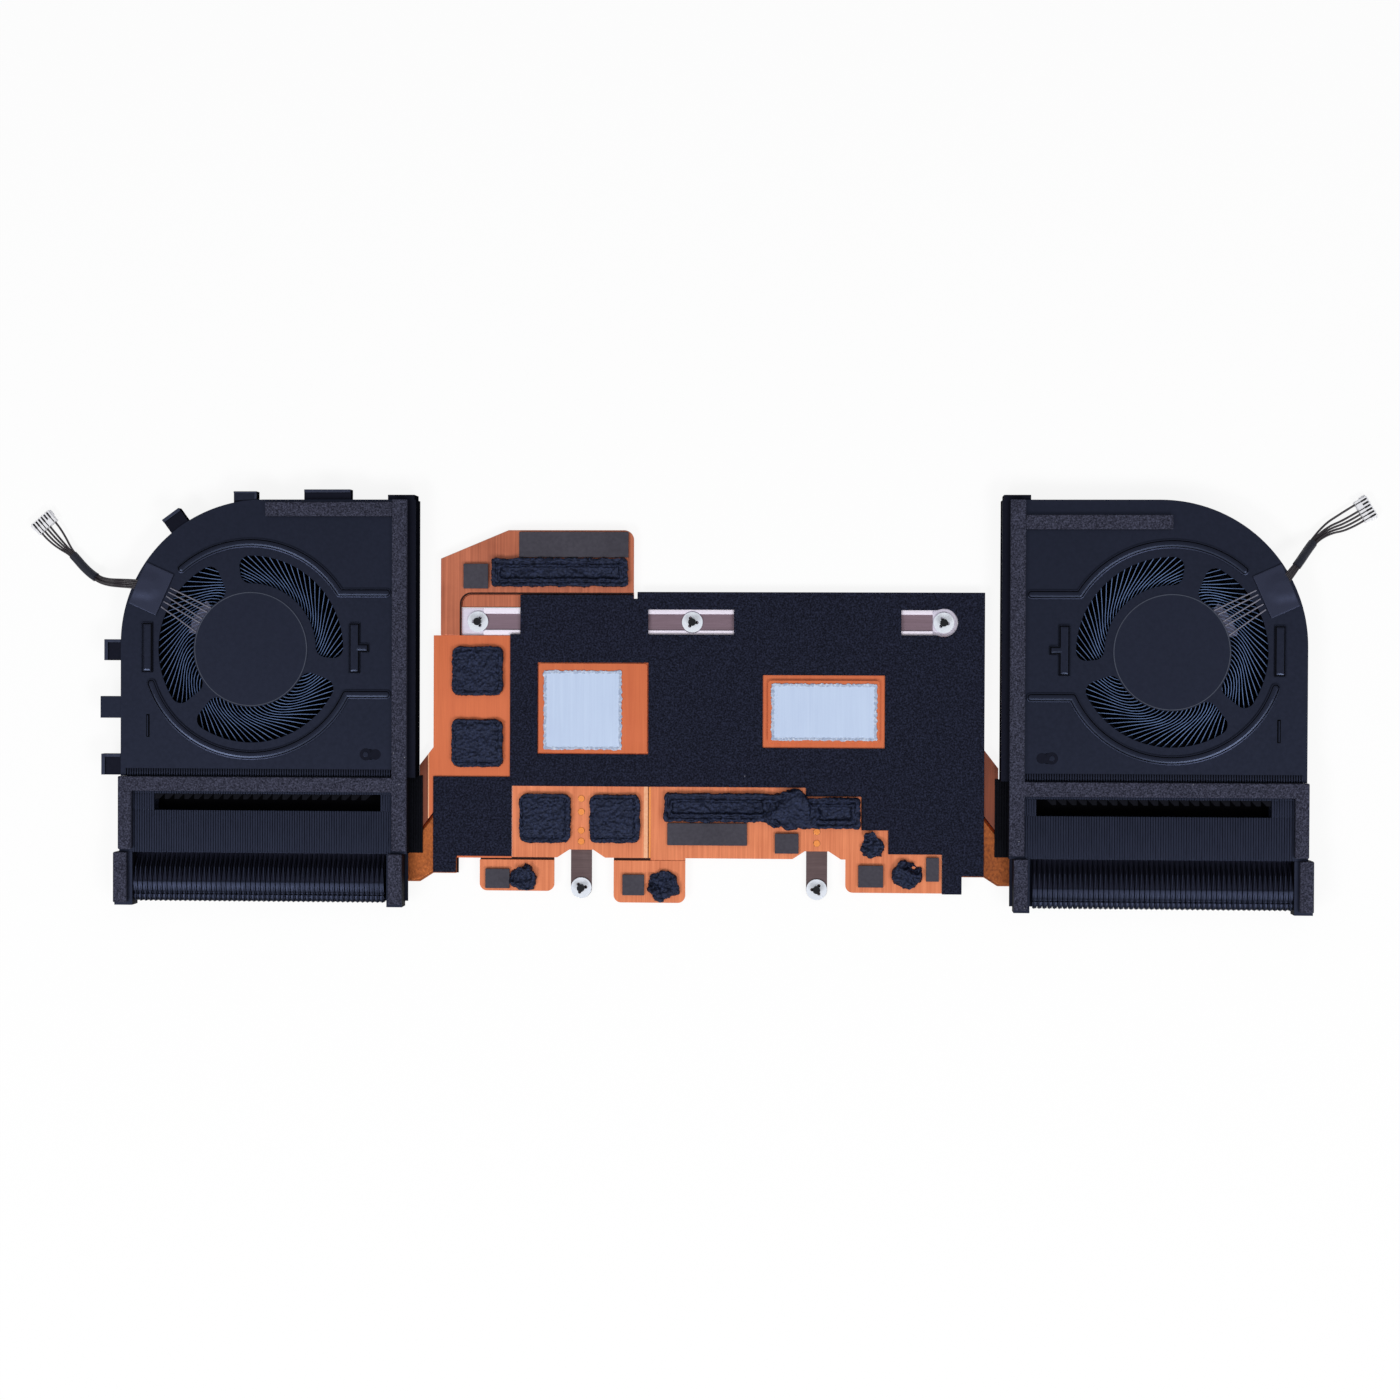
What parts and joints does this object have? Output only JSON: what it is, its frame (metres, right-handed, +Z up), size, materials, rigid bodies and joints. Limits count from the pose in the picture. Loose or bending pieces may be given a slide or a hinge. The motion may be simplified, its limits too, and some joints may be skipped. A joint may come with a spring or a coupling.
{
  "type": "laptop cooling fan heatsink",
  "caption": "Flat laptop cooling module: mirrored blower fans with fin banks at each end of a copper heat spreader with contact lands, spring bar and foam seals.",
  "frame": {"origin": "middle of the module's footprint without its cables, on the surface it lies on", "axes": "+X from the left fan to the right fan, +Y from the fin banks to the fans, +Z up out of the board side"},
  "size_m": [0.3591, 0.111, 0.0098],
  "materials": {
    "copper": "brushed copper",
    "black_steel": "satin black coat",
    "black_plastic": "fine matt",
    "blade_plastic": "satin, thin bright edges",
    "magnet": "bonded magnet",
    "steel": "rolled sheet",
    "bright_steel": "bright plated",
    "brass": "sintered",
    "board": "solder mask",
    "label": "printed film, bare",
    "lead": "enamelled lead",
    "tape": "matt adhesive tape",
    "cable": "matt sleeve",
    "plug": "moulded nylon",
    "fin_black": "thin black coat",
    "seal_foam": "open foam",
    "sheet_foam": "fine foam with film",
    "paste": "printed paste",
    "pad": "soft pad",
    "putty": "granular putty"
  },
  "bodies": {
    "module": {"vapour_chamber": "copper", "upper_copper_plate": "copper", "lower_copper_plate": "copper", "heat_pipe_left": "copper", "heat_pipe_right": "copper", "insulation_sheet": "sheet_foam", "spring_bar": "steel", "spring_arm_left": "steel", "spring_arm_right": "steel", "arm_rivets": "copper", "captive_screws": "steel", "retaining_rings": "bright_steel", "gpu_paste": "paste", "cpu_paste": "paste", "thermal_pads": "pad", "memory_putty": "putty", "upper_putty_bead": "putty", "lower_putty_bead": "putty", "putty_dabs": "putty", "fan_base_plate_left": "black_steel", "fan_base_plate_right": "black_steel", "fan_cover_left": "black_steel", "fan_cover_right": "black_steel", "fan_frame_left": "black_plastic", "fan_frame_right": "black_plastic", "outlet_post_left": "black_steel", "outlet_post_right": "black_steel", "bearing_sleeve_left": "brass", "bearing_sleeve_right": "brass", "stator_left": "steel", "stator_right": "steel", "motor_board_left": "board", "motor_board_right": "board", "hub_label_left": "label", "hub_label_right": "label", "motor_leads_left": "lead", "motor_leads_right": "lead", "cable_tape_left": "tape", "cable_tape_right": "tape", "fan_cable_left": "cable", "fan_cable_right": "cable", "cable_sleeve_left": "cable", "cable_sleeve_right": "cable", "fan_plug_left": "plug", "fan_plug_right": "plug", "fin_stack_left": "fin_black", "fin_stack_right": "fin_black", "outlet_gasket_left": "seal_foam", "outlet_gasket_right": "seal_foam", "intake_foam_left": "seal_foam", "intake_foam_right": "seal_foam", "end_foam_blocks_left": "seal_foam", "end_foam_blocks_right": "seal_foam"},
    "rotor_left": {"impeller_left": "blade_plastic", "rotor_magnet_left": "magnet", "rotor_shaft_left": "steel"},
    "rotor_right": {"impeller_right": "blade_plastic", "rotor_magnet_right": "magnet", "rotor_shaft_right": "steel"}
  },
  "joints": [
    {"name": "fan_spin_left", "type": "hinge", "parent": "module", "child": "rotor_left", "pos_m": [-0.11965, 0.013, 0.004], "axis": [0, 0, 1], "continuous": true},
    {"name": "fan_spin_right", "type": "hinge", "parent": "module", "child": "rotor_right", "pos_m": [0.12355, 0.013, 0.004], "axis": [0, 0, 1], "continuous": true}
  ]
}
